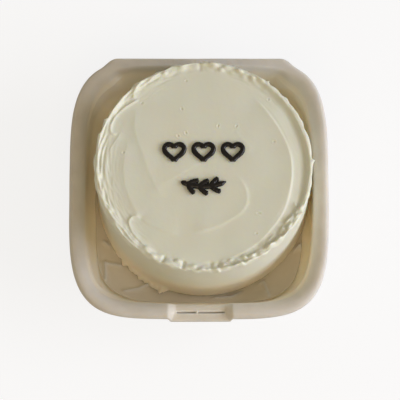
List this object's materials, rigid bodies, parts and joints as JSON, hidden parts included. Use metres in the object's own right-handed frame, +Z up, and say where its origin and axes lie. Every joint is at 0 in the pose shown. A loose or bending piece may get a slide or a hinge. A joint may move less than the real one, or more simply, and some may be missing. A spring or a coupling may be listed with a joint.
{
  "type": "bento cake in a takeaway box",
  "caption": "Small round cream-frosted cake with piped hearts and a sprig, standing on greaseproof paper in the open base of a moulded-pulp takeaway box.",
  "frame": {"origin": "middle of the box's flat underside", "axes": "+Z up, -Y towards the side of the box with the lock tab, +X to the right seen from there"},
  "size_m": [0.145, 0.152, 0.0594],
  "materials": {
    "pulp": "matt, faintly fibrous moulded plant-fibre pulp",
    "greaseproof_paper": "translucent, creased greaseproof paper",
    "cream": "smooth pale cream spread with a spatula, soft satin sheen",
    "piped_icing": "glossy black piped icing"
  },
  "bodies": {
    "root": {"tray": "pulp", "baking_paper": "greaseproof_paper", "cake": "cream", "piped_heart_left": "piped_icing", "piped_heart_middle": "piped_icing", "piped_heart_right": "piped_icing", "piped_sprig": "piped_icing"}
  },
  "joints": []
}
